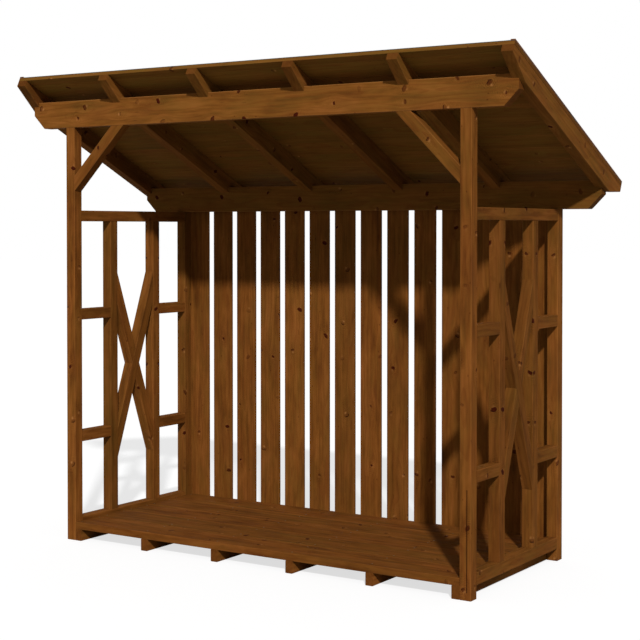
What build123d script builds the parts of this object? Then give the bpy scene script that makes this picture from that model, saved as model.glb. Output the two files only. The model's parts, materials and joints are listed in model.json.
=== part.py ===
from build123d import *
import math
import os

# An open-fronted log store in square-sawn softwood: a boarded floor on six bearers, four
# corner posts, open braced sides, a slatted back, and a boarded single-pitch roof that falls
# to the rear on six rafters carried by two purlins.
#
# Millimetres. X runs along the front, Y from front to rear and Z up. The sizes below are
# worked out from the front left post's outer front corner at ground level, and every solid is
# moved at the end so that the origin is at the bottom centre of the whole store's box.

# ---- Frame ------------------------------------------------------------------------------
frame_width = 2090.0          # outer face to outer face of the corner posts
frame_depth = 867.0           # front face of the front posts to rear face of the rear posts
post_size = 50.0              # corner posts, square section
front_post_height = 1905.0    # ground to the underside of the front purlin

# ---- Floor ------------------------------------------------------------------------------
bearer_count = 6
bearer_thickness = 35.0
bearer_height = 53.0
floor_board_thickness = 32.0
floor_board_count = 5
floor_board_gap = 3.0

# ---- Purlins and their braces -----------------------------------------------------------
purlin_height = 122.0
purlin_chamfer = 62.0         # 45 degree cut off the lower corner of each end
purlin_housing = 30.0         # length of a purlin's end let into an end rafter
brace_size = 50.0             # knee brace, square section
brace_reach = 292.0           # lower edge, from the corner of post and purlin along either

# ---- Roof -------------------------------------------------------------------------------
roof_pitch = 25.0             # degrees, falling to the rear
roof_side_overhang = 218.0    # past the outer faces of the posts
roof_front_overhang = 75.0    # top front edge past the front faces of the front posts
roof_slope_length = 1185.0
roof_board_thickness = 16.0
roof_board_pitch = 109.0      # visible width of one board and its joint, along the slope
roof_first_board = 45.0       # the ripped board at the front edge, with its joint
roof_board_gap = 0.6          # shrinkage between tongued boards
roof_covering_thickness = 2.0
rake_strip_width = 20.0
rake_strip_height = 5.0

# ---- Rafters ----------------------------------------------------------------------------
rafter_count = 6
rafter_width = 50.0
rafter_depth = 80.0
rafter_notch = 29.0           # drop of the notch at a purlin's front top edge
rafter_end_face = 28.0        # square cut left at each end above the taper
rafter_front_taper = 150.0    # length of the taper along the rafter
rafter_rear_taper = 111.0

# ---- Sides ------------------------------------------------------------------------------
side_timber = 50.0            # rails, studs, noggins and cross braces, square section
front_stud_place = 250.0      # front face of the frame to the front of the front stud
rear_stud_place = 564.0       # the same, to the front of the rear stud
lower_noggin_top = 502.0      # heights above the ground
upper_noggin_top = 1068.0
cross_centre_height = 788.0
cross_half_height = 367.0     # centre to where a brace's middle line meets a stud

# ---- Back -------------------------------------------------------------------------------
slat_count = 14
slat_width = 109.0
slat_thickness = 16.0
slat_end_margin = 0.0         # post's inner face to the first slat
slat_top_cover = 50.0         # how far the slats run up behind the rear purlin

# ---- Worked out from the above ----------------------------------------------------------
pitch_tangent = math.tan(math.radians(roof_pitch))
floor_top = bearer_height + floor_board_thickness
inner_left = post_size
inner_right = frame_width - post_size
inner_rear = frame_depth - post_size
rear_post_height = front_post_height - pitch_tangent * inner_rear
front_purlin_top = front_post_height + purlin_height
side_top = rear_post_height
side_rail_bottom = side_top - side_timber
side_sill_top = bearer_height + side_timber
roof_left = -roof_side_overhang
roof_right = frame_width + roof_side_overhang
purlin_left = roof_left + rafter_width - purlin_housing
purlin_right = roof_right - rafter_width + purlin_housing
rafter_underside_at_front = front_purlin_top - rafter_notch


def block(x_range, y_range, z_range):
    """A solid between two values on each axis."""
    low = (x_range[0], y_range[0], z_range[0])
    size = [x_range[1] - x_range[0], y_range[1] - y_range[0], z_range[1] - z_range[0]]
    return Pos(*low) * Box(*size, align=(Align.MIN, Align.MIN, Align.MIN))


def prism_along_x(outline_yz, x_range):
    """A solid with the given outline in Y and Z, between two values of X."""
    face = make_face(Polyline([(x_range[0], y, z) for y, z in outline_yz], close=True))
    return extrude(face, amount=x_range[1] - x_range[0], dir=(1, 0, 0))


def prism_along_y(outline_xz, y_range):
    """A solid with the given outline in X and Z, between two values of Y."""
    face = make_face(Polyline([(x, y_range[0], z) for x, z in outline_xz], close=True))
    return extrude(face, amount=y_range[1] - y_range[0], dir=(0, 1, 0))


# ---- Roof geometry: distance along the slope and depth square to it ---------------------
def roof_point(along, deep):
    """Y and Z of a point measured from the roof's top front edge, down the slope and inwards."""
    cos_pitch = math.cos(math.radians(roof_pitch))
    sin_pitch = math.sin(math.radians(roof_pitch))
    y = -roof_front_overhang + along * cos_pitch - deep * sin_pitch
    z = roof_top_front - along * sin_pitch - deep * cos_pitch
    return (y, z)


roof_build_up = roof_covering_thickness + roof_board_thickness
roof_total_depth = roof_build_up + rafter_depth
roof_top_front = (
    rafter_underside_at_front
    + roof_total_depth / math.cos(math.radians(roof_pitch))
    + roof_front_overhang * pitch_tangent
)


# ---- Posts ------------------------------------------------------------------------------
def corner_post(x_low, y_low, height):
    return block((x_low, x_low + post_size), (y_low, y_low + post_size), (0.0, height))


# ---- Purlins ----------------------------------------------------------------------------
def purlin(y_low, z_low):
    """A beam along X, its two ends cut off at 45 degrees underneath."""
    z_high = z_low + purlin_height
    outline = [
        (purlin_left, z_high),
        (purlin_left, z_low + purlin_chamfer),
        (purlin_left + purlin_chamfer, z_low),
        (purlin_right - purlin_chamfer, z_low),
        (purlin_right, z_low + purlin_chamfer),
        (purlin_right, z_high),
    ]
    return prism_along_y(outline, (y_low, y_low + post_size))


# ---- Knee braces ------------------------------------------------------------------------
def knee_brace(corner_x, inwards):
    """A 45 degree brace between a front post and the front purlin; inwards is +1 or -1."""
    short_reach = brace_reach - brace_size * math.sqrt(2.0)
    outline = [
        (corner_x, front_post_height - brace_reach),
        (corner_x, front_post_height - short_reach),
        (corner_x + inwards * short_reach, front_post_height),
        (corner_x + inwards * brace_reach, front_post_height),
    ]
    return prism_along_y(outline, (0.0, post_size))


# ---- Rafters ----------------------------------------------------------------------------
def rafter(x_low, purlins):
    """A sloping beam with square ends that taper off underneath, housed over both purlins."""
    top = roof_build_up
    bottom = roof_total_depth
    outline = [
        roof_point(0.0, top),
        roof_point(roof_slope_length, top),
        roof_point(roof_slope_length, top + rafter_end_face),
        roof_point(roof_slope_length - rafter_rear_taper, bottom),
        roof_point(rafter_front_taper, bottom),
        roof_point(0.0, top + rafter_end_face),
    ]
    beam = prism_along_x(outline, (x_low, x_low + rafter_width))
    for carrier in purlins:
        beam = beam - carrier
    return beam


# ---- Roof skin --------------------------------------------------------------------------
def roof_layer(x_range, along_range, deep_range):
    """A flat layer of the roof between two distances along the slope and two depths."""
    outline = [
        roof_point(along_range[0], deep_range[0]),
        roof_point(along_range[1], deep_range[0]),
        roof_point(along_range[1], deep_range[1]),
        roof_point(along_range[0], deep_range[1]),
    ]
    return prism_along_x(outline, x_range)


# ---- Side members -----------------------------------------------------------------------
def cross_brace_outline(direction):
    """One brace of the cross in Y and Z; it rises to the rear for +1 and to the front for -1."""
    bay_front = front_stud_place + side_timber
    bay_rear = rear_stud_place
    centre_y = (bay_front + bay_rear) / 2.0
    reach = direction * (bay_rear - bay_front) / 2.0
    lean = math.atan2(abs(reach), cross_half_height)
    edge_rise = side_timber / 2.0 / math.sin(lean)
    low_end = cross_centre_height - cross_half_height
    high_end = cross_centre_height + cross_half_height
    return [
        (centre_y - reach, low_end - edge_rise),
        (centre_y - reach, low_end + edge_rise),
        (centre_y + reach, high_end + edge_rise),
        (centre_y + reach, high_end - edge_rise),
    ]


def cross_braces(outer_x, inner_x):
    """Two crossing braces between the studs, each halved to let the other through."""
    middle_x = (outer_x + inner_x) / 2.0
    whole = (min(outer_x, inner_x), max(outer_x, inner_x))
    outer_half = (min(outer_x, middle_x), max(outer_x, middle_x))
    inner_half = (min(inner_x, middle_x), max(inner_x, middle_x))
    rear_rising = cross_brace_outline(1.0)
    front_rising = cross_brace_outline(-1.0)
    first = prism_along_x(rear_rising, whole) - prism_along_x(front_rising, outer_half)
    second = prism_along_x(front_rising, whole) - prism_along_x(rear_rising, inner_half)
    return first, second


def side_noggins(across):
    """Two short rails in each of the bays beside the posts."""
    bays = [(post_size, front_stud_place), (rear_stud_place + side_timber, inner_rear)]
    rails = []
    for bay in bays:
        for top in (lower_noggin_top, upper_noggin_top):
            rails.append(block(across, bay, (top - side_timber, top)))
    return rails


def spread(first_low, last_low, count):
    """Evenly spaced starting places, the first and the last included."""
    return [first_low + (last_low - first_low) * i / (count - 1) for i in range(count)]


# ---- Nodes ------------------------------------------------------------------------------
nodes = {}

nodes["post_front_left"] = corner_post(0.0, 0.0, front_post_height)
nodes["post_front_right"] = corner_post(inner_right, 0.0, front_post_height)
nodes["post_rear_left"] = corner_post(0.0, inner_rear, rear_post_height)
nodes["post_rear_right"] = corner_post(inner_right, inner_rear, rear_post_height)

purlin_front = purlin(0.0, front_post_height)
purlin_rear = purlin(inner_rear, rear_post_height)
nodes["purlin_front"] = purlin_front
nodes["purlin_rear"] = purlin_rear
nodes["knee_brace_left"] = knee_brace(inner_left, 1.0)
nodes["knee_brace_right"] = knee_brace(inner_right, -1.0)

for number, x_low in enumerate(spread(roof_left, roof_right - rafter_width, rafter_count), 1):
    nodes[f"rafter_{number}"] = rafter(x_low, (purlin_front, purlin_rear))

roof_boards = []
start = 0.0
joint = roof_first_board
while start < roof_slope_length:
    stop = min(joint - roof_board_gap, roof_slope_length)
    deep = (roof_covering_thickness, roof_build_up)
    roof_boards.append(roof_layer((roof_left, roof_right), (start, stop), deep))
    start = joint
    joint = joint + roof_board_pitch
nodes["roof_boards"] = roof_boards
nodes["roof_covering"] = roof_layer(
    (roof_left, roof_right), (0.0, roof_slope_length), (0.0, roof_covering_thickness)
)
for side, x_low in (("left", roof_left), ("right", roof_right - rake_strip_width)):
    nodes[f"rake_strip_{side}"] = roof_layer(
        (x_low, x_low + rake_strip_width), (0.0, roof_slope_length), (-rake_strip_height, 0.0)
    )

for side, inner_x, outer_x in (
    ("left", inner_left, inner_left - side_timber),
    ("right", inner_right, inner_right + side_timber),
):
    across = (min(inner_x, outer_x), max(inner_x, outer_x))
    between_posts = (post_size, inner_rear)
    stud_height = (side_sill_top, side_rail_bottom)
    front_stud = (front_stud_place, front_stud_place + side_timber)
    rear_stud = (rear_stud_place, rear_stud_place + side_timber)
    nodes[f"side_top_rail_{side}"] = block(across, between_posts, (side_rail_bottom, side_top))
    nodes[f"side_sill_{side}"] = block(across, between_posts, (bearer_height, side_sill_top))
    nodes[f"side_stud_front_{side}"] = block(across, front_stud, stud_height)
    nodes[f"side_stud_rear_{side}"] = block(across, rear_stud, stud_height)
    nodes[f"side_noggins_{side}"] = side_noggins(across)
    rear_rising, front_rising = cross_braces(outer_x, inner_x)
    nodes[f"cross_brace_rear_rising_{side}"] = rear_rising
    nodes[f"cross_brace_front_rising_{side}"] = front_rising

bearer_places = spread(inner_left, inner_right - bearer_thickness, bearer_count)
for number, x_low in enumerate(bearer_places, 1):
    across = (x_low, x_low + bearer_thickness)
    nodes[f"bearer_{number}"] = block(across, (0.0, frame_depth), (0.0, bearer_height))

floor_board_width = (frame_depth + floor_board_gap) / floor_board_count - floor_board_gap
floor_boards = []
for y_low in spread(0.0, frame_depth - floor_board_width, floor_board_count):
    along_y = (y_low, y_low + floor_board_width)
    floor_boards.append(block((inner_left, inner_right), along_y, (bearer_height, floor_top)))
nodes["floor_boards"] = floor_boards

slat_first = inner_left + slat_end_margin
slat_last = inner_right - slat_end_margin - slat_width
slat_top = rear_post_height + slat_top_cover
nodes["rear_slats"] = [
    block((x_low, x_low + slat_width), (frame_depth, frame_depth + slat_thickness),
          (bearer_height, slat_top))
    for x_low in spread(slat_first, slat_last, slat_count)
]

# ---- Origin at the bottom centre of the whole, then one file for each node --------------
front_most = roof_point(0.0, roof_build_up + rafter_end_face)[0]
rear_most = roof_point(roof_slope_length, -rake_strip_height)[0]
to_origin = Pos(-frame_width / 2.0, -(front_most + rear_most) / 2.0, 0.0)

os.makedirs("parts", exist_ok=True)
for name, shape in nodes.items():
    pieces = shape if isinstance(shape, list) else [shape]
    moved = [to_origin * piece for piece in pieces]
    whole = moved[0] if len(moved) == 1 else Compound(children=moved)
    export_step(whole, f"parts/{name}.step")

print("nodes", len(nodes))
print("overall width", round(roof_right - roof_left, 1))
print("overall depth", round(rear_most - front_most, 1))
print("overall height", round(roof_point(0.0, -rake_strip_height)[1], 1))
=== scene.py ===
import json
import math
import random
from types import SimpleNamespace

import bmesh
import bpy
from bpy.props import FloatProperty, FloatVectorProperty, IntProperty, PointerProperty
from mathutils import Matrix, Vector, noise

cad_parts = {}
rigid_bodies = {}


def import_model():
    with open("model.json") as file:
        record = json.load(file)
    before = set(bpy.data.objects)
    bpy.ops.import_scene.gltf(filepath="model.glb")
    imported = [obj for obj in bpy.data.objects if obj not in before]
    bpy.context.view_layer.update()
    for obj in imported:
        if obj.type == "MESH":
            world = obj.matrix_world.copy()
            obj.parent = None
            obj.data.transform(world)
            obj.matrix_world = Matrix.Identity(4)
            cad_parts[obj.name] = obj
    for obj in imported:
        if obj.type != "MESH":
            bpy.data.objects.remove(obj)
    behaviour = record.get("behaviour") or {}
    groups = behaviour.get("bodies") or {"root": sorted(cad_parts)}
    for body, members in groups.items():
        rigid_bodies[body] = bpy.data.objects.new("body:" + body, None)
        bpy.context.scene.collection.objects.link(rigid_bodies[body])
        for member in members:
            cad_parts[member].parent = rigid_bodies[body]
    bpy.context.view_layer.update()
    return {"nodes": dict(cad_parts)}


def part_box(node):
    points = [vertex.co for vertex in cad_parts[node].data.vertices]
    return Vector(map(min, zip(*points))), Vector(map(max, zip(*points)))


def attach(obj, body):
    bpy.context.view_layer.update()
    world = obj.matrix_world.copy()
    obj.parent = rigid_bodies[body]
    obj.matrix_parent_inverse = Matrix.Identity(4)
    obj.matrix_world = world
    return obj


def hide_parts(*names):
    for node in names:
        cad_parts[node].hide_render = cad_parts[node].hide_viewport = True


bl_info = {
    "name": "Log store",
    "version": (1, 0, 0),
    "blender": (4, 5, 0),
    "location": "View3D > Sidebar > Log store",
    "description": "Stained softwood log store with a felted, boarded roof",
    "category": "Object",
}

for leftover in list(bpy.data.objects):
    bpy.data.objects.remove(leftover)
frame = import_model()

MM = 0.001
NEAR = 0.01 * MM  # points closer than this are one place
X_AXIS = Vector((1.0, 0.0, 0.0))
Y_AXIS = Vector((0.0, 1.0, 0.0))
Z_AXIS = Vector((0.0, 0.0, 1.0))

# The slot and the finish of framing timbers, and those of boards, strips and slats.
FRAMING = {"slot": "stained_timber", "look": "stained_planed_framing"}
BOARDS = {"slot": "stained_boards", "look": "stained_planed_boards"}
# How much of a timber's width each knot has to itself.
KNOT_CELL_WIDTHS = {"stained_planed_framing": 80.0 * MM, "stained_planed_boards": 95.0 * MM}

# Which way the main light shines, and where the camera stands and looks, in degrees.
SUN_DIRECTION = Vector((-0.748, 1.0, -0.865))
CAMERA_PLACE = (3.6027, -5.4706, 1.4428)
CAMERA_DIP = 1.12
CAMERA_TURN = 32.96
CAMERA_SHIFT = (0.0006, -0.0992)


def linear(hex_colour):
    """An sRGB hex value such as 78481e as linear red, green, blue and alpha."""
    parts = [int(hex_colour[i:i + 2], 16) / 255.0 for i in (0, 2, 4)]
    return tuple(
        p / 12.92 if p <= 0.04045 else ((p + 0.055) / 1.055) ** 2.4 for p in parts
    ) + (1.0,)


def colour_property(name, description, hex_colour):
    """A colour setting shown as a swatch, with its default given in sRGB hex."""
    return FloatVectorProperty(
        name=name, description=description, default=linear(hex_colour),
        size=4, subtype="COLOR", min=0.0, max=1.0,
    )


def length_property(name, description, millimetres):
    """A length setting, with its default given in millimetres."""
    return FloatProperty(
        name=name, description=description, default=millimetres * MM,
        unit="LENGTH", precision=4, min=0.0,
    )


# ---- Settings -------------------------------------------------------------------------
class LogStoreTimberSettings(bpy.types.PropertyGroup):
    roof_pitch: FloatProperty(
        name="Roof pitch", description="Fall of the roof to the rear",
        default=math.radians(25.0), subtype="ANGLE",
    )
    cross_lean: FloatProperty(
        name="Cross brace lean", description="Lean of a side's crossed braces from upright",
        default=math.atan2(132.0, 367.0), subtype="ANGLE",
    )
    timber_arris: length_property("Timber arris", "Eased long edge of the framing timber", 2.6)
    board_arris: length_property("Board arris", "Eased long edge of boards and slats", 1.8)
    strip_arris: length_property("Strip arris", "Eased long edge of the rake strips", 1.0)
    end_arris: length_property("End arris", "Slight wear round a sawn end", 0.6)
    arris_segments: IntProperty(
        name="Arris segments", description="Facets across an eased edge", default=3, min=1,
    )
    knot_spacing: length_property("Knot spacing", "Distance between whorls of knots", 230.0)
    knot_smallest: length_property("Smallest knot", "Radius of the smallest knot", 4.5)
    knot_largest: length_property("Largest knot", "Radius of the largest knot", 11.5)
    ring_spacing: length_property("Ring spacing", "Distance between yearly rings", 13.0)
    streak_width: length_property("Streak width", "Width of a band of darker stain", 19.0)
    stain_light: colour_property("Light stain", "Stain over the open early wood", "8f5626")
    stain_middle: colour_property("Middle stain", "Most of the stained surface", "764519")
    stain_dark: colour_property("Dark stain", "Stain where the wood drank most", "502a0d")
    # This greener stain is also the tint of the painted shade on pieces that stand in shade.
    olive_stain_and_shade: colour_property("Olive stain", "Patches that took the stain greener", "60481a")
    stain_red: colour_property("Red stain", "Patches that took the stain redder", "7a431f")
    late_wood: colour_property("Late wood", "Dense dark line of each yearly ring", "5a290b")
    # Pale wood is also the colour of the painted highlights on arrises and beside knots.
    pale_wood_and_highlight: colour_property("Pale wood", "Hard wood beside a knot and on arrises", "b07844")
    knot_heart: colour_property("Knot heart", "Dense resinous wood of a knot", "380c04")
    # The rim colour is also painted shade on one side of each knot and in drying checks.
    rim_and_crack_shade: colour_property("Knot rim", "Bark and resin round a knot", "240703")


class LogStoreRoofSettings(bpy.types.PropertyGroup):
    felt_thickness: length_property("Felt thickness", "One layer of the roofing felt", 2.0)
    felt_lap: length_property("Felt lap", "How far the upper course covers the lower", 80.0)
    lap_place: length_property("Lap place", "Front edge of the roof to the lap's end", 640.0)
    granule_size: length_property("Granule size", "Drawn size of the mineral granules", 3.0)
    felt_colour: colour_property("Felt", "Mineral-finished bitumen felt", "2f3031")
    granule_colour: colour_property("Granules", "Pale mineral granules on the felt", "54565a")


class LogStoreFixingSettings(bpy.types.PropertyGroup):
    screw_radius: length_property("Screw head radius", "Countersunk screw head", 4.0)
    screw_edge: length_property("Screw edge distance", "Board's edge to its screws", 26.0)
    nail_radius: length_property("Nail head radius", "Clout nail head", 5.0)
    nail_spacing: length_property("Nail spacing", "Between the felt's nails", 110.0)
    metal_colour: colour_property("Zinc", "Passivated zinc plating", "6b5e40")
    tarnish_colour: colour_property("Tarnish", "Zinc plating gone dull", "5e5442")


class LogStoreStageSettings(bpy.types.PropertyGroup):
    sun_strength: FloatProperty(
        name="Sun strength", description="Strength of the main light", default=3.4, min=0.0,
    )
    sun_width: FloatProperty(
        name="Sun width", description="Apparent width of the main light",
        default=math.radians(2.4), subtype="ANGLE",
    )
    ambient: FloatProperty(
        name="Surrounding light", description="Even light from all round", default=0.3, min=0.0,
    )
    lens: FloatProperty(
        name="Lens", description="Focal length of the camera in millimetres", default=82.0,
        min=1.0,
    )


# ---- Materials ------------------------------------------------------------------------
def add(tree, kind, sockets=None, **settings):
    """Adds a shader node with its settings. A socket takes a value or another's output."""
    made = tree.nodes.new("ShaderNode" + kind)
    for name, value in settings.items():
        setattr(made, name, value)
    for key, value in (sockets or {}).items():
        if isinstance(value, bpy.types.NodeSocket):
            tree.links.new(value, made.inputs[key])
        else:
            made.inputs[key].default_value = value
    return made


def new_material(name):
    """An empty node material and its tree."""
    found = bpy.data.materials.get(name)
    if found:
        bpy.data.materials.remove(found)
    material = bpy.data.materials.new(name)
    material.use_nodes = True
    material.node_tree.nodes.clear()
    return material, material.node_tree


def read_timber(tree):
    """What a timber's attributes say at a point, as outputs that other nodes can use."""
    grain, board, pith, facing = (
        add(tree, "Attribute", attribute_name=name).outputs["Vector"]
        for name in ("grain", "board", "pith", "facing")
    )
    grain_parts, board_parts, pith_parts, facing_parts = (
        add(tree, "SeparateXYZ", {0: mark}).outputs
        for mark in (grain, board, pith, facing)
    )
    # The faces of a timber are read as one strip wrapped round it, so that what crosses an
    # arris meets on both faces.
    around = add(tree, "Math", {0: grain_parts[1], 1: grain_parts[2]}).outputs[0]
    strip = add(tree, "CombineXYZ", {0: grain_parts[0], 1: around}).outputs[0]
    # Each timber has its own part of every pattern.
    apart = add(
        tree, "VectorMath", {0: board_parts[0], 1: (37.3, 91.7, 53.1)}, operation="MULTIPLY"
    ).outputs["Vector"]
    pith_place = add(tree, "CombineXYZ", {1: pith_parts[0], 2: pith_parts[1]}).outputs[0]
    return SimpleNamespace(
        grain=grain, strip=strip, apart=apart, pith_place=pith_place,
        seed=board_parts[0], knot_share=board_parts[1], tone=board_parts[2],
        olive_and_shade=pith_parts[2],
        arris_wear_and_highlight=facing_parts[0], on_end=facing_parts[1], check_shade=facing_parts[2],
    )


def scatter_spots(tree, timber, cell, randomness):
    """One spot in each cell of the strip: a point's offset from it in cells, and its draws."""
    in_cells = add(
        tree, "VectorMath", {0: timber.strip, 1: cell}, operation="DIVIDE"
    ).outputs["Vector"]
    in_cells = add(tree, "VectorMath", {0: in_cells, 1: timber.apart}).outputs["Vector"]
    spots = add(
        tree, "TexVoronoi",
        {"Vector": in_cells, "Scale": 1.0, "Randomness": randomness},
        voronoi_dimensions="2D",
    )
    offset = add(
        tree, "VectorMath", {0: in_cells, 1: spots.outputs["Position"]}, operation="SUBTRACT"
    ).outputs["Vector"]
    draws = add(tree, "SeparateColor", {0: spots.outputs["Color"]}).outputs
    return offset, draws


def grow_knots(tree, timber, cell_width):
    """Knots: a reddish heart half ringed by dark bark and painted shade, with a pale patch and
    painted highlight beside it.
    """
    wood = bpy.context.scene.log_store_timber
    cell = (wood.knot_spacing, cell_width, 0.0)
    offset, draws = scatter_spots(tree, timber, (cell[0], cell[1], 1.0), 0.7)
    offset = add(tree, "VectorMath", {0: offset, 1: cell}, operation="MULTIPLY").outputs["Vector"]
    # Some of the knots are faint, because they only just reach the face.
    has_knot = add(
        tree, "Math", {0: timber.knot_share, 1: draws[0]}, operation="SUBTRACT"
    ).outputs[0]
    has_knot = add(
        tree, "Math", {0: has_knot, 1: 4.0}, operation="MULTIPLY", use_clamp=True
    ).outputs[0]
    # Knottier timber has larger knots as well as more of them.
    size = add(
        tree, "MapRange",
        {"Value": draws[1], "To Min": wood.knot_smallest, "To Max": wood.knot_largest},
    ).outputs["Result"]
    knotty = add(
        tree, "Math", {0: timber.knot_share, 1: 0.45, 2: 0.7}, operation="MULTIPLY_ADD"
    ).outputs[0]
    size = add(tree, "Math", {0: size, 1: knotty}, operation="MULTIPLY").outputs[0]

    # A knot is an oval slanted by up to a radian, and nearly half of them are turned round.
    slant = add(
        tree, "MapRange", {"Value": draws[2], "To Min": -1.0, "To Max": 1.0}
    ).outputs["Result"]
    flipped = add(tree, "Math", {0: draws[1], 1: 0.55}, operation="GREATER_THAN").outputs[0]
    slant = add(
        tree, "Math", {0: flipped, 1: math.pi, 2: slant}, operation="MULTIPLY_ADD"
    ).outputs[0]
    turned = add(
        tree, "VectorRotate", {"Vector": offset, "Angle": slant}, rotation_type="Z_AXIS"
    ).outputs[0]
    turned_parts = add(tree, "SeparateXYZ", {0: turned})
    reach = add(
        tree, "VectorMath", {0: turned, 1: (1.35, 0.85, 0.0)}, operation="MULTIPLY"
    ).outputs["Vector"]
    reach = add(tree, "VectorMath", {0: reach}, operation="LENGTH").outputs["Value"]

    # Its outline strays in and out.
    stray = 14.0 * MM
    wobble = add(
        tree, "TexNoise", {"Vector": timber.grain, "Scale": 85.0, "Detail": 3.0}
    ).outputs["Fac"]
    wobbly = add(
        tree, "Math", {0: wobble, 1: stray, 2: -stray / 2.0}, operation="MULTIPLY_ADD"
    ).outputs[0]
    wobbly = add(tree, "Math", {0: wobbly, 1: reach}).outputs[0]
    beyond = add(tree, "Math", {0: wobbly, 1: size}, operation="SUBTRACT").outputs[0]

    # Hearts run from solid to faint, and the fainter ones have more of a pale patch and painted
    # highlight beside.
    solid = add(tree, "Math", {0: draws[2], 1: 7.3}, operation="MULTIPLY").outputs[0]
    solid = add(tree, "Math", {0: solid}, operation="FRACT").outputs[0]
    solid = add(
        tree, "MapRange", {"Value": solid, "From Min": 0.15, "From Max": 0.6, "To Min": 0.35}
    ).outputs["Result"]
    paler = add(tree, "Math", {0: solid, 1: -0.75, 2: 1.0}, operation="MULTIPLY_ADD").outputs[0]
    knot = add(
        tree, "MapRange",
        {"Value": beyond, "From Min": -1.5 * MM, "From Max": 3.0 * MM,
         "To Min": 1.0, "To Max": 0.0},
        interpolation_type="SMOOTHSTEP",
    ).outputs["Result"]
    rim_and_shade = add(tree, "Math", {0: beyond}, operation="ABSOLUTE").outputs[0]
    rim_and_shade = add(
        tree, "MapRange",
        {"Value": rim_and_shade, "From Min": 0.8 * MM, "From Max": 3.6 * MM, "To Min": 1.0, "To Max": 0.0},
        interpolation_type="SMOOTHSTEP",
    ).outputs["Result"]
    # The dark rim keeps to one side of the knot, as painted shade.
    rim_side = add(
        tree, "MapRange", {"Value": turned_parts.outputs[0], "From Max": 4.0 * MM}
    ).outputs["Result"]

    # Pale wood and a painted highlight on the side away from the rim.
    patch_place = add(
        tree, "Math", {0: size, 1: -1.0, 2: -1.0 * MM}, operation="MULTIPLY_ADD"
    ).outputs[0]
    patch_place = add(tree, "CombineXYZ", {0: patch_place}).outputs[0]
    beside = add(
        tree, "VectorMath", {0: turned, 1: patch_place}, operation="SUBTRACT"
    ).outputs["Vector"]
    beside = add(tree, "VectorMath", {0: beside}, operation="LENGTH").outputs["Value"]
    beside = add(
        tree, "Math", {0: wobble, 1: stray, 2: beside}, operation="MULTIPLY_ADD"
    ).outputs[0]
    pale_patch_and_highlight = add(
        tree, "MapRange",
        {"Value": beside, "From Min": 6.0 * MM, "From Max": 17.0 * MM,
         "To Min": 1.0, "To Max": 0.0},
        interpolation_type="SMOOTHSTEP",
    ).outputs["Result"]

    # The grain parts and closes again round each knot.
    parting = add(
        tree, "VectorMath", {0: offset, 1: (16.0, 42.0, 0.0)}, operation="MULTIPLY"
    ).outputs["Vector"]
    parting = add(
        tree, "VectorMath", {0: parting, 1: parting}, operation="DOT_PRODUCT"
    ).outputs["Value"]
    parting = add(tree, "Math", {0: parting, 1: -1.0}, operation="MULTIPLY").outputs[0]
    parting = add(tree, "Math", {0: parting}, operation="EXPONENT").outputs[0]
    sideways = add(
        tree, "VectorMath", {0: offset, 1: (0.0, -0.8, 0.0)}, operation="DOT_PRODUCT"
    ).outputs["Value"]
    # Growth lines crowd round a knot, drawn 7 mm apart so that they show.
    crowd = add(
        tree, "Math", {0: wobbly, 1: math.tau / (7.0 * MM)}, operation="MULTIPLY"
    ).outputs[0]
    crowd = add(tree, "Math", {0: crowd}, operation="SINE").outputs[0]

    rim_and_shade = add(tree, "Math", {0: rim_and_shade, 1: rim_side}, operation="MULTIPLY").outputs[0]
    knot, rim_and_shade, pale_patch_and_highlight, parting = (
        add(tree, "Math", {0: part, 1: has_knot}, operation="MULTIPLY").outputs[0]
        for part in (knot, rim_and_shade, pale_patch_and_highlight, parting)
    )
    heart = add(tree, "Math", {0: knot, 1: solid}, operation="MULTIPLY").outputs[0]
    pale_patch_and_highlight = add(tree, "Math", {0: pale_patch_and_highlight, 1: paler}, operation="MULTIPLY").outputs[0]
    sideways, crowd = (
        add(tree, "Math", {0: part, 1: parting}, operation="MULTIPLY").outputs[0]
        for part in (sideways, crowd)
    )
    push = add(tree, "CombineXYZ", {1: sideways, 2: sideways}).outputs[0]
    return SimpleNamespace(
        knot=knot, heart=heart, rim_and_shade=rim_and_shade, pale_patch_and_highlight=pale_patch_and_highlight, crowd=crowd, push=push
    )


def small_marks(tree, timber):
    """Short drying checks, really under 1 mm wide and drawn as 2 mm, and pin knots."""
    cell = (120.0 * MM, 34.0 * MM, 1.0)
    offset, draws = scatter_spots(tree, timber, cell, 1.0)
    marks = []
    # Half of a mark's length and width in mm, and the share of the spots that are one.
    for half_length, half_width, first, share in ((15.0, 1.1, 0.0, 0.1), (4.5, 2.6, 0.5, 0.13)):
        drawn = (cell[0] / (half_length * MM), cell[1] / (half_width * MM), 0.0)
        mark = add(
            tree, "VectorMath", {0: offset, 1: drawn}, operation="MULTIPLY"
        ).outputs["Vector"]
        mark = add(tree, "VectorMath", {0: mark}, operation="LENGTH").outputs["Value"]
        mark = add(
            tree, "MapRange",
            {"Value": mark, "From Min": 0.4, "From Max": 1.2, "To Min": 1.0, "To Max": 0.0},
            interpolation_type="SMOOTHSTEP",
        ).outputs["Result"]
        there = add(
            tree, "Math", {0: draws[0], 1: first + share / 2.0, 2: share / 2.0},
            operation="COMPARE",
        ).outputs[0]
        marks.append(
            add(tree, "Math", {0: mark, 1: there}, operation="MULTIPLY").outputs[0]
        )
    return marks


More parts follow.
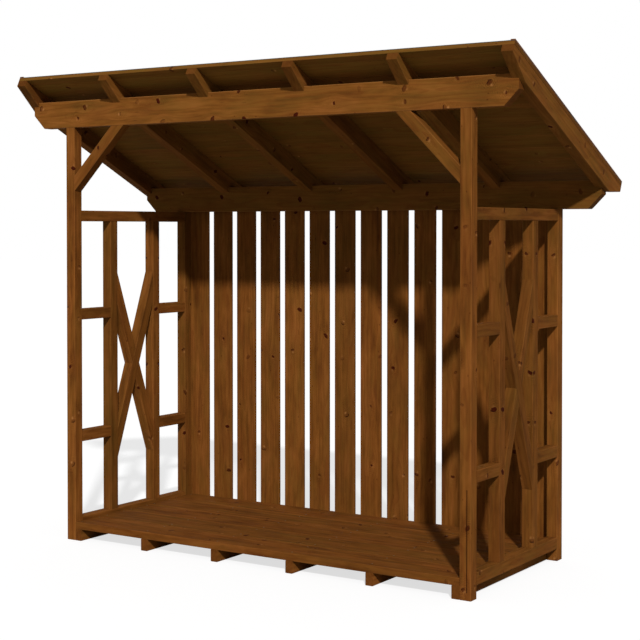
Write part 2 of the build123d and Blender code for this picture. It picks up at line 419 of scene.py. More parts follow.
def stained_planed_softwood(name, knot_cell_width):
    """Planed spruce or pine under a brown translucent stain.

    The stain lets the grain through: darker and lighter streaks along the board, faint rings,
    near-black red knots with the grain flowing round them, thirsty end grain, and arrises
    where the stain is worn thin. Lighter arrises and pale patches beside knots are partly a
    painted highlight. The dark rim on one side of a knot and the walls of drying checks are
    painted shade, and pieces that stand in shade are tinted greener as painted shade. It is
    nearly matt with a faint sheen.
    """
    wood = bpy.context.scene.log_store_timber
    material, tree = new_material(name)
    timber = read_timber(tree)
    knots = grow_knots(tree, timber, knot_cell_width)
    split, pin = small_marks(tree, timber)
    parted = add(tree, "VectorMath", {0: timber.grain, 1: knots.push}).outputs["Vector"]
    flow = add(tree, "VectorMath", {0: parted, 1: timber.apart}).outputs["Vector"]

    # Patterns drawn out along the grain: their scale a metre along it and across it, their
    # detail and their roughness. Streaks of stain are the width of a band of rings cut nearly
    # flat, coat is the broad unevenness of brushing and mottle is where the wood drank more.
    # Real fibres are under 0.1 mm across and are drawn at 2.4 mm so that they show.
    patterns = {}
    for part, along, across, detail, roughness in (
        ("streak", 2.6, 1.0 / wood.streak_width, 2.5, 0.55),
        ("wander", 2.6, 14.0, 1.5, 0.5),
        ("fibre", 12.0, 420.0, 2.0, 0.5),
        ("coat", 5.0, 15.0, 3.0, 0.5),
        ("mottle", 16.0, 62.0, 2.0, 0.5),
    ):
        place = add(
            tree, "VectorMath", {0: flow, 1: (along, across, across)}, operation="MULTIPLY"
        ).outputs["Vector"]
        patterns[part] = add(
            tree, "TexNoise",
            {"Vector": place, "Scale": 1.0, "Detail": detail, "Roughness": roughness},
        ).outputs
    streak, wander, fibre, coat, mottle = (made["Fac"] for made in patterns.values())
    hues = add(tree, "SeparateColor", {0: patterns["coat"]["Color"]}).outputs

    # Yearly rings round the pith, real ones being 2 to 4 mm apart and drawn coarser to show.
    from_pith = add(
        tree, "VectorMath", {0: parted, 1: timber.pith_place}, operation="SUBTRACT"
    ).outputs["Vector"]
    from_pith = add(
        tree, "VectorMath", {0: from_pith, 1: (0.0, 1.0, 1.0)}, operation="MULTIPLY"
    ).outputs["Vector"]
    from_pith = add(tree, "VectorMath", {0: from_pith}, operation="LENGTH").outputs["Value"]
    ring = add(
        tree, "Math", {0: wander, 1: 50.0 * MM, 2: from_pith}, operation="MULTIPLY_ADD"
    ).outputs[0]
    ring = add(tree, "Math", {0: ring, 1: wood.ring_spacing}, operation="DIVIDE").outputs[0]
    ring = add(tree, "Math", {0: ring}, operation="FRACT").outputs[0]
    ring = add(
        tree, "MapRange", {"Value": ring, "From Min": 0.55, "From Max": 0.96},
        interpolation_type="SMOOTHSTEP",
    ).outputs["Result"]

    # Each part's share of how dark the stain lies.
    depth = add(tree, "Math", {0: streak, 1: 0.6, 2: -0.11}, operation="MULTIPLY_ADD").outputs[0]
    for part, share in ((coat, 0.55), (mottle, 0.26), (fibre, 0.16), (knots.crowd, 0.16)):
        depth = add(
            tree, "Math", {0: part, 1: share, 2: depth}, operation="MULTIPLY_ADD"
        ).outputs[0]
    ramp = add(tree, "ValToRGB", {0: depth})
    ramp.color_ramp.elements[0].position = 0.45
    ramp.color_ramp.elements[0].color = wood.stain_dark
    ramp.color_ramp.elements[1].position = 0.95
    ramp.color_ramp.elements[1].color = wood.stain_light
    ramp.color_ramp.elements.new(0.7).color = wood.stain_middle

    # Then what is laid over it in turn, with its share at most and its colour.
    olive_and_shade, red = (
        add(
            tree, "MapRange", {"Value": hue, "From Min": least, "From Max": 0.66, "To Max": 0.22}
        ).outputs["Result"]
        for hue, least in ((hues[1], 0.42), (hues[2], 0.44))
    )
    olive_and_shade = add(
        tree, "Math", {0: timber.seed, 1: 0.2, 2: olive_and_shade}, operation="MULTIPLY_ADD"
    ).outputs[0]
    # Each piece's own greener tint, painted shade on pieces that stand in shade, is added.
    olive_and_shade = add(tree, "Math", {0: olive_and_shade, 1: timber.olive_and_shade}).outputs[0]
    colour = ramp.outputs["Color"]
    for part, share, tint in (
        # Greener patches: partly random stain, partly painted shade.
        (olive_and_shade, 1.0, wood.olive_stain_and_shade),
        (red, 1.0, wood.stain_red),
        (ring, 0.26, wood.late_wood),
        # Pale patches beside knots: pale wood and a painted highlight.
        (knots.pale_patch_and_highlight, 0.75, wood.pale_wood_and_highlight),
        # Lighter arrises: stain worn thin and a painted highlight.
        (timber.arris_wear_and_highlight, 0.2, wood.pale_wood_and_highlight),
        (timber.on_end, 0.6, wood.stain_dark),
        (pin, 0.6, wood.knot_heart),
        (split, 0.55, wood.rim_and_crack_shade),
        (knots.heart, 0.95, wood.knot_heart),
        # A knot's one-sided dark rim: bark and resin, and painted shade.
        (knots.rim_and_shade, 0.85, wood.rim_and_crack_shade),
        # Walls of the drying checks drawn dark, as painted shade in the split.
        (timber.check_shade, 0.8, wood.rim_and_crack_shade),
    ):
        shown = add(tree, "Math", {0: part, 1: share}, operation="MULTIPLY").outputs[0]
        colour = add(tree, "Mix", {0: shown, 6: colour, 7: tint}, data_type="RGBA").outputs[2]
    colour = add(
        tree, "VectorMath", {0: colour, "Scale": timber.tone}, operation="SCALE"
    ).outputs["Vector"]

    rough = add(
        tree, "MapRange", {"Value": coat, "To Min": 0.74, "To Max": 0.9}
    ).outputs["Result"]
    height = add(tree, "Math", {0: fibre, 1: 0.6, 2: ring}, operation="MULTIPLY_ADD").outputs[0]
    height = add(
        tree, "Math", {0: knots.knot, 1: 0.3, 2: height}, operation="MULTIPLY_ADD"
    ).outputs[0]
    bump = add(
        tree, "Bump", {"Strength": 0.5, "Distance": 0.35 * MM, "Height": height}
    ).outputs["Normal"]
    shader = add(
        tree, "BsdfPrincipled",
        {"Base Color": colour, "Roughness": rough, "Normal": bump,
         "IOR": 1.45, "Specular IOR Level": 0.03},
    )
    add(tree, "OutputMaterial", {"Surface": shader.outputs[0]})
    return material


def mineral_finished_bitumen_felt():
    """Bitumen felt with crushed mineral pressed into it: charcoal, gritty and quite matt."""
    roof = bpy.context.scene.log_store_roof
    material, tree = new_material("mineral_finished_bitumen_felt")
    place = add(tree, "TexCoord").outputs["Object"]
    # Real grit is about 1 mm and is drawn three times as coarse so that it shows. It lies
    # unevenly, in clouds about 200 mm across.
    grit = add(tree, "TexVoronoi", {"Vector": place, "Scale": 1.0 / roof.granule_size})
    grit_tone = add(tree, "SeparateColor", {0: grit.outputs["Color"]}).outputs[0]
    cloud = add(tree, "TexNoise", {"Vector": place, "Scale": 5.0, "Detail": 4.0}).outputs["Fac"]
    share = add(tree, "Math", {0: grit_tone, 1: cloud}, operation="MULTIPLY").outputs[0]
    colour = add(
        tree, "Mix", {0: share, 6: roof.felt_colour, 7: roof.granule_colour}, data_type="RGBA"
    ).outputs[2]
    bump = add(
        tree, "Bump", {"Strength": 0.6, "Distance": 0.5 * MM, "Height": grit.outputs["Distance"]}
    ).outputs["Normal"]
    shader = add(
        tree, "BsdfPrincipled",
        {"Base Color": colour, "Roughness": 0.9, "Normal": bump, "Specular IOR Level": 0.3},
    )
    add(tree, "OutputMaterial", {"Surface": shader.outputs[0]})
    return material


def zinc_plated_steel():
    """Steel plated with zinc and yellow-passivated: a soft, slightly brassy shine."""
    fixings = bpy.context.scene.log_store_fixings
    material, tree = new_material("zinc_plated_steel")
    place = add(tree, "TexCoord").outputs["Object"]
    # Tarnish comes in spots about 4 mm across.
    tarnish = add(
        tree, "TexNoise", {"Vector": place, "Scale": 260.0, "Detail": 3.0}
    ).outputs["Fac"]
    colour = add(
        tree, "Mix", {0: tarnish, 6: fixings.metal_colour, 7: fixings.tarnish_colour},
        data_type="RGBA",
    ).outputs[2]
    rough = add(
        tree, "MapRange", {"Value": tarnish, "To Min": 0.35, "To Max": 0.65}
    ).outputs["Result"]
    shader = add(
        tree, "BsdfPrincipled", {"Base Color": colour, "Roughness": rough, "Metallic": 1.0}
    )
    add(tree, "OutputMaterial", {"Surface": shader.outputs[0]})
    return material


def ready_material(name):
    """The material of that name, made the first time that it is asked for."""
    found = bpy.data.materials.get(name)
    if found:
        return found
    if name in KNOT_CELL_WIDTHS:
        return stained_planed_softwood(name, KNOT_CELL_WIDTHS[name])
    if name == "zinc_plated_steel":
        return zinc_plated_steel()
    return mineral_finished_bitumen_felt()


# ---- Timber ---------------------------------------------------------------------------
def nodes_named(start):
    """The CAD nodes whose names start so, in order."""
    return sorted(node for node in frame["nodes"] if node.startswith(start))


def node_mesh(node):
    """A copy of a CAD node's mesh with its triangles joined into flat faces."""
    bm = bmesh.new()
    bm.from_mesh(frame["nodes"][node].data)
    bmesh.ops.remove_doubles(bm, verts=bm.verts, dist=NEAR)
    bmesh.ops.dissolve_limit(
        bm, angle_limit=math.radians(0.5), verts=bm.verts, edges=bm.edges
    )
    bm.verts.index_update()
    return bm


def box_of(verts):
    """The lowest and the highest corner of the box round some vertices."""
    return [[pick(v.co[i] for v in verts) for i in range(3)] for pick in (min, max)]


def solids_of(bm):
    """The vertices of each separate solid, ordered by where the solid is."""
    left, found = set(bm.verts), []
    while left:
        start = min(left, key=lambda v: v.index)
        group, edge_of_group = {start}, [start]
        while edge_of_group:
            for link in edge_of_group.pop().link_edges:
                for vert in link.verts:
                    if vert not in group:
                        group.add(vert)
                        edge_of_group.append(vert)
        left -= group
        found.append(sorted(group, key=lambda v: v.index))
    return sorted(
        found, key=lambda group: [round((a + b) / 2.0, 4) for a, b in zip(*box_of(group))]
    )


def solid_boxes(node):
    """The lowest and highest corner of each solid of a CAD node, ordered by place."""
    bm = node_mesh(node)
    boxes = [[Vector(corner) for corner in box_of(group)] for group in solids_of(bm)]
    bm.free()
    return boxes


def cut_drying_check(bm, face_normal, across, level, start, stop, width, depth):
    """Opens a tapering split along the grain in the face that points along face_normal.

    level is its place across that face, and start and stop are its ends along the grain.
    """
    grain_axis = face_normal.cross(across).normalized()
    target = max(
        (f for f in bm.faces if f.normal.dot(face_normal) > 0.999),
        key=lambda f: f.calc_area(),
    )
    cuts = [(across, level + shift) for shift in (-width / 2.0, 0.0, width / 2.0)]
    steps = 9
    cuts += [
        (grain_axis, start + (stop - start) * i / steps) for i in range(steps + 1)
    ]
    plane_of_face = target.verts[0].co.dot(face_normal)
    for normal, place in cuts:
        flat = [
            f for f in bm.faces
            if f.normal.dot(face_normal) > 0.999
            and abs(f.verts[0].co.dot(face_normal) - plane_of_face) < 0.1 * MM
        ]
        geometry = set(flat)
        for f in flat:
            geometry.update(f.edges)
            geometry.update(f.verts)
        bmesh.ops.bisect_plane(
            bm, geom=list(geometry), dist=1e-6, plane_co=normal * place, plane_no=normal
        )
    rng = random.Random(round(level * 1e5))
    mark = bm.faces.layers.float_vector["facing"]
    for vert in bm.verts:
        on_face = abs(vert.co.dot(face_normal) - plane_of_face) < NEAR
        along = vert.co.dot(grain_axis)
        inside = min(start, stop) + NEAR < along < max(start, stop) - NEAR
        if on_face and inside and abs(vert.co.dot(across) - level) < NEAR:
            vert.co -= face_normal * depth
            vert.co += across * (rng.random() - 0.5) * width * 0.5
            # Walls of the split are marked to be drawn dark, as painted shade.
            for face in vert.link_faces:
                face[mark] = Vector((0.0, 0.0, 1.0))


def ease_edges(bm, along, arris, end_dot, edge_wear_and_highlight, tight):
    """Bevels the long edges, wears the edges of the sawn ends, and marks what faces are.

    facing is how much lighter an arris is drawn, partly stain worn thin and partly a painted
    highlight, whether a face is end grain, and whether it is in a check, whose walls are drawn
    dark as painted shade. A face that turns more than end_dot along the grain is end grain.
    Edges for which tight is true lie against a neighbour and stay sharp.
    """
    wood = bpy.context.scene.log_store_timber
    mark = bm.faces.layers.float_vector.new("facing")
    for long_edges in (True, False):
        bm.normal_update()
        chosen = []
        for edge in bm.edges:
            if len(edge.link_faces) != 2 or not edge.is_convex:
                continue
            if edge.calc_face_angle(0.0) < math.radians(40.0):
                continue
            if tight and all(tight(vert.co) for vert in edge.verts):
                continue
            ends = [abs(f.normal.dot(along)) > end_dot for f in edge.link_faces]
            if long_edges != any(ends):
                chosen.append(edge)
        made = bmesh.ops.bevel(
            bm, geom=chosen, offset=arris if long_edges else wood.end_arris,
            offset_type="OFFSET", affect="EDGES", profile=0.5, material=-1,
            segments=wood.arris_segments if long_edges else 1, clamp_overlap=False,
        )
        if long_edges:
            # Lighter arrises, partly stain worn thin and partly a painted highlight.
            for face in made["faces"]:
                face[mark] = Vector((edge_wear_and_highlight, 0.0, 0.0))
    bm.normal_update()
    for face in bm.faces:
        if abs(face.normal.dot(along)) > end_dot:
            face[mark] = Vector((0.0, 1.0, 0.0))


def mark_grain(bm, node, axes, knots, shade, olive_and_shade):
    """Marks each solid with its own draws, for its finish to read.

    grain is a point's place from the middle of its solid, along, across and through it.
    board is the solid's seed, its share of knots and its tone, which is darker on some pieces
    as painted shade. pith is where the pith lies across and through it, with how much greener
    it is drawn as painted shade.
    """
    grain_mark, board_mark, pith_mark = (
        bm.verts.layers.float_vector.new(name) for name in ("grain", "board", "pith")
    )
    bm.verts.index_update()
    for number, group in enumerate(solids_of(bm)):
        rng = random.Random(f"{node} {number}")
        places = [[v.co.dot(axis) for axis in axes] for v in group]
        middle = [(min(row) + max(row)) / 2.0 for row in zip(*places)]
        seed = rng.random()
        tone = shade * (0.9 + 0.2 * rng.random())
        pith = (rng.uniform(-0.06, 0.06), rng.choice((-1.0, 1.0)) * rng.uniform(0.02, 0.08))
        for vert, place in zip(group, places):
            vert[grain_mark] = Vector([place[i] - middle[i] for i in range(3)])
            vert[board_mark] = Vector((seed, knots, tone))
            vert[pith_mark] = Vector((pith[0], pith[1], olive_and_shade))


def make_timber(
    node, along, deep, arris, slot, look, knots, end_dot=0.5, checks=(), shade=1.0,
    olive_and_shade=0.0, edge_wear_and_highlight=1.0, tight=None,
):
    """One piece that stands for a CAD node of solid timber: eased, and marked for its grain.

    knots is the share of knots that show. shade is its tone, which is darker on some pieces as
    painted shade. olive_and_shade is how much greener it is drawn, as painted shade on pieces
    that stand in shade. edge_wear_and_highlight is how much lighter its arrises are drawn,
    partly stain worn thin and partly a painted highlight.
    """
    along, deep = along.normalized(), deep.normalized()
    bm = node_mesh(node)
    ease_edges(bm, along, arris, end_dot, edge_wear_and_highlight, tight)
    for check in checks:
        cut_drying_check(bm, *check)
    mark_grain(bm, node, (along, deep.cross(along), deep), knots, shade, olive_and_shade)
    finish_piece(bm, f"{node}_wood", look, (node,))


def finish_piece(bm, name, look, nodes=()):
    """Turns a bmesh into a piece with its finish that rides on the store."""
    mesh = bpy.data.meshes.new(name)
    bm.to_mesh(mesh)
    bm.free()
    mesh.materials.append(ready_material(look))
    piece = bpy.data.objects.new(name, mesh)
    bpy.context.scene.collection.objects.link(piece)
    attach(piece, "root")
    if nodes:
        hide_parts(*nodes)


def slope_axes():
    """Directions down the slope and square to it."""
    pitch = bpy.context.scene.log_store_timber.roof_pitch
    down = Vector((0.0, math.cos(pitch), -math.sin(pitch)))
    return down, Vector((0.0, math.sin(pitch), math.cos(pitch)))


def slope_matrix():
    """Takes (x, distance down the slope, height above the felt) into the store's frame."""
    down, up = slope_axes()
    low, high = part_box("roof_covering")
    thickness = bpy.context.scene.log_store_roof.felt_thickness
    start = Vector((0.0, low.y + thickness * up.y, high.z))
    matrix = Matrix((X_AXIS, down, up)).transposed().to_4x4()
    matrix.translation = start
    return matrix


# ---- Operators ------------------------------------------------------------------------
class LOGSTORE_OT_posts(bpy.types.Operator):
    """Corner posts, the right front one with its long drying split"""
    bl_idname = "logstore.posts"
    bl_label = "Posts"

    def execute(self, context):
        arris = context.scene.log_store_timber.timber_arris
        for place in ("front_left", "front_right", "rear_left", "rear_right"):
            node = f"post_{place}"
            low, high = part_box(node)
            checks = ()
            if place == "front_right":
                # A split 3.8 mm wide and 9 mm deep, from 30 to 430 mm above the foot.
                level = low.x + 0.64 * (high.x - low.x)
                start, stop = low.z + 30.0 * MM, low.z + 430.0 * MM
                checks = ((-Y_AXIS, X_AXIS, level, start, stop, 3.8 * MM, 9.0 * MM),)
            # The rear slats close against the rear posts' inner back corners.
            back = high.y if place.startswith("rear") else math.inf
            make_timber(
                node, Z_AXIS, Y_AXIS, arris, **FRAMING, knots=0.7, checks=checks,
                edge_wear_and_highlight=0.3, shade=0.95, tight=lambda co: abs(co.y - back) < 0.05 * MM,
            )
        return {"FINISHED"}


class LOGSTORE_OT_purlins(bpy.types.Operator):
    """Front and rear purlins with their cut-back ends"""
    bl_idname = "logstore.purlins"
    bl_label = "Purlins"

    def execute(self, context):
        arris = context.scene.log_store_timber.timber_arris
        # The rear purlin, in shade, is tinted greener as painted shade.
        for place, olive_and_shade in (("front", 0.0), ("rear", 0.4)):
            make_timber(
                f"purlin_{place}", X_AXIS, Y_AXIS, arris, **FRAMING, knots=0.95,
                olive_and_shade=olive_and_shade, shade=0.98,
            )
        return {"FINISHED"}


class LOGSTORE_OT_knee_braces(bpy.types.Operator):
    """Braces between the front posts and the front purlin"""
    bl_idname = "logstore.knee_braces"
    bl_label = "Knee braces"

    def execute(self, context):
        arris = context.scene.log_store_timber.timber_arris
        for side, inwards in (("left", 1.0), ("right", -1.0)):
            make_timber(
                f"knee_brace_{side}", Vector((inwards, 0.0, 1.0)), Y_AXIS, arris,
                **FRAMING, knots=0.5, edge_wear_and_highlight=0.5, shade=0.92,
            )
        return {"FINISHED"}


class LOGSTORE_OT_rafters(bpy.types.Operator):
    """Rafters with tapered ends, housed over both purlins"""
    bl_idname = "logstore.rafters"
    bl_label = "Rafters"

    def execute(self, context):
        arris = context.scene.log_store_timber.timber_arris
        down, _ = slope_axes()
        for node in nodes_named("rafter_"):
            # The rafters, in shade under the roof, are tinted a little greener as painted shade.
            make_timber(
                node, down, X_AXIS, arris, **FRAMING, knots=0.7, shade=0.95, olive_and_shade=0.15,
                edge_wear_and_highlight=0.3,
            )
        return {"FINISHED"}


class LOGSTORE_OT_roof_boards(bpy.types.Operator):
    """Tongued roof boards, whose eased edges leave a fine V at each joint"""
    bl_idname = "logstore.roof_boards"
    bl_label = "Roof boards"

    def execute(self, context):
        _, up = slope_axes()
        arris = context.scene.log_store_timber.board_arris
        # The roof boards, in shade underneath, are tinted greener as painted shade.
        make_timber(
            "roof_boards", X_AXIS, up, arris, **BOARDS, knots=0.4, shade=1.03, olive_and_shade=0.45,
            edge_wear_and_highlight=0.25,
        )
        return {"FINISHED"}


class LOGSTORE_OT_rake_strips(bpy.types.Operator):
    """Thin strips that hold the felt down along the roof's two sloping edges"""
    bl_idname = "logstore.rake_strips"
    bl_label = "Rake strips"

    def execute(self, context):
        down, up = slope_axes()
        arris = context.scene.log_store_timber.strip_arris
        for side in ("left", "right"):
            make_timber(
                f"rake_strip_{side}", down, up, arris, **BOARDS, knots=0.1, edge_wear_and_highlight=0.25
            )
        return {"FINISHED"}


class LOGSTORE_OT_sides(bpy.types.Operator):
    """Rails, studs, noggins and crossed braces of both sides"""
    bl_idname = "logstore.sides"
    bl_label = "Sides"

    def execute(self, context):
        wood = context.scene.log_store_timber
        lean = wood.cross_lean
        members = [
            ("side_top_rail", Y_AXIS, 0.5), ("side_sill", Y_AXIS, 0.5),
            ("side_noggins", Y_AXIS, 0.5), ("side_stud_front", Z_AXIS, 0.5),
            ("side_stud_rear", Z_AXIS, 0.5),
            ("cross_brace_rear_rising", Vector((0.0, math.sin(lean), math.cos(lean))), 0.25),
            ("cross_brace_front_rising", Vector((0.0, -math.sin(lean), math.cos(lean))), 0.25),
        ]
        # The right side is drawn darker than the left, as painted shade for how the light falls
        # on it.
        for side, shade in (("left", 0.87), ("right", 0.8)):
            for member, along, end_dot in members:
                make_timber(
                    f"{member}_{side}", along, X_AXIS, wood.timber_arris, **FRAMING,
                    knots=0.7, end_dot=end_dot, shade=shade, edge_wear_and_highlight=0.2,
                )
        return {"FINISHED"}


class LOGSTORE_OT_floor(bpy.types.Operator):
    """Bearers and the floor boards on them"""
    bl_idname = "logstore.floor"
    bl_label = "Floor"

    def execute(self, context):
        wood = context.scene.log_store_timber
        for node in nodes_named("bearer_"):
            make_timber(node, Y_AXIS, X_AXIS, wood.timber_arris, **FRAMING, knots=0.3)
        make_timber(
            "floor_boards", X_AXIS, Z_AXIS, wood.board_arris, **BOARDS, knots=0.6,
            shade=0.86, edge_wear_and_highlight=0.25,
        )
        return {"FINISHED"}


class LOGSTORE_OT_rear_slats(bpy.types.Operator):
    """Upright slats of the back"""
    bl_idname = "logstore.rear_slats"
    bl_label = "Rear slats"

    def execute(self, context):
        low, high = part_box("rear_slats")
        arris = context.scene.log_store_timber.board_arris
        # The outer two meet the rear posts corner to corner, so they stay sharp there.
        make_timber(
            "rear_slats", Z_AXIS, Y_AXIS, arris, **BOARDS, knots=0.5, shade=0.95,
            edge_wear_and_highlight=0.25, tight=lambda co: min(co.x - low.x, high.x - co.x) < 0.05 * MM,
        )
        return {"FINISHED"}


class LOGSTORE_OT_felt(bpy.types.Operator):
    """Two courses of roofing felt, the front one lapped over the rear one"""
    bl_idname = "logstore.felt"
    bl_label = "Roofing felt"

    def execute(self, context):
        roof = context.scene.log_store_roof
        low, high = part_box("roof_covering")
        pitch = context.scene.log_store_timber.roof_pitch
        thickness = roof.felt_thickness
        slope = (high.y - low.y - thickness * math.sin(pitch)) / math.cos(pitch)
        matrix = slope_matrix()
        ripple_height, flat_border, climb_length = 1.0 * MM, 60.0 * MM, 30.0 * MM
        courses = (
            ("rear", roof.lap_place - roof.felt_lap, slope, 0.0),
            ("front", 0.0, roof.lap_place, thickness),
        )
        for number, (place, start, stop, lift) in enumerate(courses):
            bm = bmesh.new()
            bmesh.ops.create_grid(bm, x_segments=60, y_segments=28, size=0.5)
            for vert in bm.verts:
                x = low.x + (vert.co.x + 0.5) * (high.x - low.x)
                down = start + (vert.co.y + 0.5) * (stop - start)
                inwards = min(x - low.x, high.x - x, down, slope - down) / flat_border
                ripple = noise.noise(Vector((x * 3.0, down * 4.0, number * 9.0)))
                ripple = max(0.0, ripple) * ripple_height * min(1.0, max(0.0, inwards))
                # The front course climbs onto the rear one where the two lap.
                climb = (down - (roof.lap_place - roof.felt_lap - climb_length)) / climb_length
                climb = lift * min(1.0, max(0.0, climb))
                vert.co = Vector((x, down, -thickness + ripple + climb))
            top = bmesh.ops.extrude_face_region(bm, geom=bm.faces[:])
            raised = [v for v in top["geom"] if isinstance(v, bmesh.types.BMVert)]
            bmesh.ops.translate(bm, verts=raised, vec=(0.0, 0.0, thickness))
            bmesh.ops.recalc_face_normals(bm, faces=bm.faces)
            bmesh.ops.transform(bm, matrix=matrix, verts=bm.verts)
            finish_piece(
                bm, f"felt_{place}_course", "mineral_finished_bitumen_felt",
                ("roof_covering",) if place == "front" else (),
            )
        return {"FINISHED"}


def fixing_heads(name, places, normal, radius, recess):
    """One piece of round heads at the given places, flat with a recess or domed.

    Each is spun from half its outline, given as radius and height in millimetres.
    """
    bm = bmesh.new()
    turn = Z_AXIS.rotation_difference(normal).to_matrix().to_4x4()
    edge = radius / MM
    if recess:
        outline = [
            (0.0, 0.05), (1.4, 0.05), (1.8, 0.35), (edge - 0.3, 0.35),
            (edge, 0.15), (edge, -0.8), (0.0, -0.8),
        ]
    else:
        outline = [(0.0, 0.9), (edge * 0.6, 0.75), (edge, 0.3), (edge, -0.3), (0.0, -0.3)]
    for place in places:
        verts = [bm.verts.new((x * MM, 0.0, z * MM)) for x, z in outline]
        edges = [bm.edges.new(pair) for pair in zip(verts, verts[1:])]
        bmesh.ops.spin(
            bm, geom=verts + edges, cent=(0.0, 0.0, 0.0), axis=(0.0, 0.0, 1.0),
            angle=math.tau, steps=12, use_merge=True, use_duplicate=False,
        )
        group = [v for v in bm.verts if not v.tag]
        matrix = Matrix.Translation(place) @ turn
        bmesh.ops.transform(bm, matrix=matrix, verts=group)
        for vert in group:
            vert.tag = True
    bmesh.ops.remove_doubles(bm, verts=bm.verts, dist=0.02 * MM)
    bmesh.ops.recalc_face_normals(bm, faces=bm.faces)
    finish_piece(bm, name, "zinc_plated_steel")


class LOGSTORE_OT_fixings(bpy.types.Operator):
    """Screws in the floor and in the back of the slats, and nails in the felt"""
    bl_idname = "logstore.fixings"
    bl_label = "Screws and nails"

    def execute(self, context):
        fixings = context.scene.log_store_fixings
        edge, slat_edge = fixings.screw_edge, fixings.screw_edge * 0.8
        bearers = [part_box(node) for node in nodes_named("bearer_")]
        floor_places = [
            Vector((x, y, high.z))
            for low, high in solid_boxes("floor_boards")
            for x in ((ends[0].x + ends[1].x) / 2.0 for ends in bearers)
            for y in (low.y + edge, high.y - edge)
        ]
        floor_low, floor_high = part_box("floor_boards")
        heights = (
            (floor_low.z + floor_high.z) / 2.0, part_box("purlin_rear")[0].z + 25.0 * MM
        )
        slat_places = [
            Vector((x, high.y, z))
            for low, high in solid_boxes("rear_slats")
            for x in (low.x + slat_edge, high.x - slat_edge)
            for z in heights
        ]
        for name, places, normal in (
            ("floor_screws", floor_places, Z_AXIS), ("slat_screws", slat_places, Y_AXIS)
        ):
            fixing_heads(name, places, normal, fixings.screw_radius, True)

        roof = context.scene.log_store_roof
        low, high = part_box("roof_covering")
        end_gap, edge_gap = 50.0 * MM, 20.0 * MM
        run = high.x - low.x - 2.0 * end_gap
        count = int(run / fixings.nail_spacing)
        gap = run / count
        matrix = slope_matrix()
        nail_places = []
        for i in range(count + 1):
            x = low.x + end_gap + i * gap
            for down, lift in ((roof.lap_place - edge_gap, roof.felt_thickness), (edge_gap, 0.0)):
                nail_places.append(matrix @ Vector((x, down, lift)))
        _, up = slope_axes()
        fixing_heads("felt_nails", nail_places, up, fixings.nail_radius, False)
        return {"FINISHED"}


def seen_directly(tree):
    """1 for what the camera sees, straight on, mirrored or through glass, and 0 for light."""
    path = add(tree, "LightPath").outputs
    direct = path["Is Camera Ray"]
    for kind in ("Is Glossy Ray", "Is Transmission Ray"):
        direct = add(tree, "Math", {0: direct, 1: path[kind]}, operation="MAXIMUM").outputs[0]
    return direct


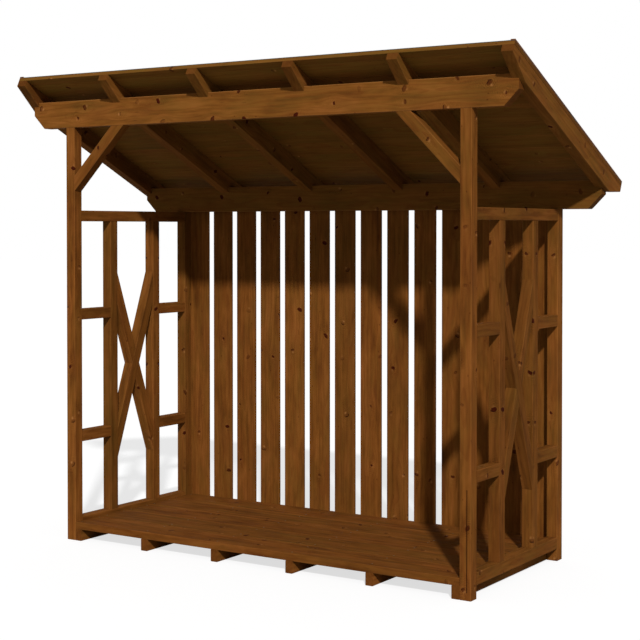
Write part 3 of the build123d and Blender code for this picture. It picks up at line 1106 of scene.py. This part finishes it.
class LOGSTORE_OT_stage(bpy.types.Operator):
    """Pale floor, soft light and the camera"""
    bl_idname = "logstore.stage"
    bl_label = "Stage"

    def execute(self, context):
        scene = context.scene
        stage = scene.log_store_stage
        material, tree = new_material("matt_pale_floor")
        # White card, 60 m out all round: it throws little light back up at the store, and
        # keeps its shadow.
        direct = seen_directly(tree)
        white = add(tree, "BsdfDiffuse", {"Color": linear("a0a0a0")}).outputs[0]
        glow = add(tree, "Emission", {"Strength": 0.7}).outputs[0]
        shown = add(tree, "AddShader", {0: white, 1: glow}).outputs[0]
        bounce = add(tree, "BsdfDiffuse", {"Color": linear("b0b0b0")}).outputs[0]
        mixed = add(tree, "MixShader", {0: direct, 1: bounce, 2: shown}).outputs[0]
        add(tree, "OutputMaterial", {"Surface": mixed})
        bm = bmesh.new()
        bmesh.ops.create_circle(bm, cap_ends=True, segments=96, radius=60.0)
        mesh = bpy.data.meshes.new("stage_floor")
        bm.to_mesh(mesh)
        bm.free()
        mesh.materials.append(material)
        floor = bpy.data.objects.new("stage_floor", mesh)
        scene.collection.objects.link(floor)

        world = bpy.data.worlds.new("even_surround")
        scene.world = world
        world.use_nodes = True
        world.node_tree.nodes.clear()
        tree = world.node_tree
        direct = seen_directly(tree)
        strength = add(
            tree, "MapRange", {"Value": direct, "To Min": stage.ambient}
        ).outputs["Result"]
        sky = add(
            tree, "Background", {"Color": (1.0, 1.0, 1.0, 1.0), "Strength": strength}
        ).outputs[0]
        add(tree, "OutputWorld", {"Surface": sky})

        lamp = bpy.data.lights.new("main_light", "SUN")
        lamp.energy = stage.sun_strength
        lamp.angle = stage.sun_width
        sun = bpy.data.objects.new("main_light", lamp)
        sun.rotation_mode = "QUATERNION"
        sun.rotation_quaternion = SUN_DIRECTION.to_track_quat("-Z", "Y")
        scene.collection.objects.link(sun)

        optics = bpy.data.cameras.new("camera")
        optics.lens = stage.lens
        optics.sensor_width = 36.0
        optics.shift_x, optics.shift_y = CAMERA_SHIFT
        optics.clip_end = 200.0
        camera = bpy.data.objects.new("camera", optics)
        camera.location = CAMERA_PLACE
        camera.rotation_euler = (
            math.radians(90.0 - CAMERA_DIP), 0.0, math.radians(CAMERA_TURN)
        )
        scene.collection.objects.link(camera)
        scene.camera = camera
        scene.view_settings.view_transform = "Standard"
        return {"FINISHED"}


class LOGSTORE_PT_panel(bpy.types.Panel):
    """The log store's pieces and settings"""
    bl_idname = "LOGSTORE_PT_panel"
    bl_label = "Log store"
    bl_space_type = "VIEW_3D"
    bl_region_type = "UI"
    bl_category = "Log store"

    def draw(self, context):
        for operator in OPERATORS:
            self.layout.operator(operator.bl_idname)
        for group, _ in SETTINGS:
            settings = getattr(context.scene, group)
            box = self.layout.box()
            for name in settings.__annotations__:
                box.prop(settings, name)


OPERATORS = (
    LOGSTORE_OT_posts, LOGSTORE_OT_purlins, LOGSTORE_OT_knee_braces, LOGSTORE_OT_rafters,
    LOGSTORE_OT_roof_boards, LOGSTORE_OT_rake_strips, LOGSTORE_OT_sides, LOGSTORE_OT_floor,
    LOGSTORE_OT_rear_slats, LOGSTORE_OT_felt, LOGSTORE_OT_fixings, LOGSTORE_OT_stage,
)
SETTINGS = (
    ("log_store_timber", LogStoreTimberSettings),
    ("log_store_roof", LogStoreRoofSettings),
    ("log_store_fixings", LogStoreFixingSettings),
    ("log_store_stage", LogStoreStageSettings),
)


def register():
    for name, group in SETTINGS:
        bpy.utils.register_class(group)
        setattr(bpy.types.Scene, name, PointerProperty(type=group))
    for kind in OPERATORS + (LOGSTORE_PT_panel,):
        bpy.utils.register_class(kind)


def unregister():
    for kind in reversed(OPERATORS + (LOGSTORE_PT_panel,)):
        bpy.utils.unregister_class(kind)
    for name, group in reversed(SETTINGS):
        delattr(bpy.types.Scene, name)
        bpy.utils.unregister_class(group)


def main():
    register()
    for operator in OPERATORS:
        name = operator.bl_idname.split(".")[1]
        getattr(bpy.ops.logstore, name)()


if __name__ == "__main__":
    main()
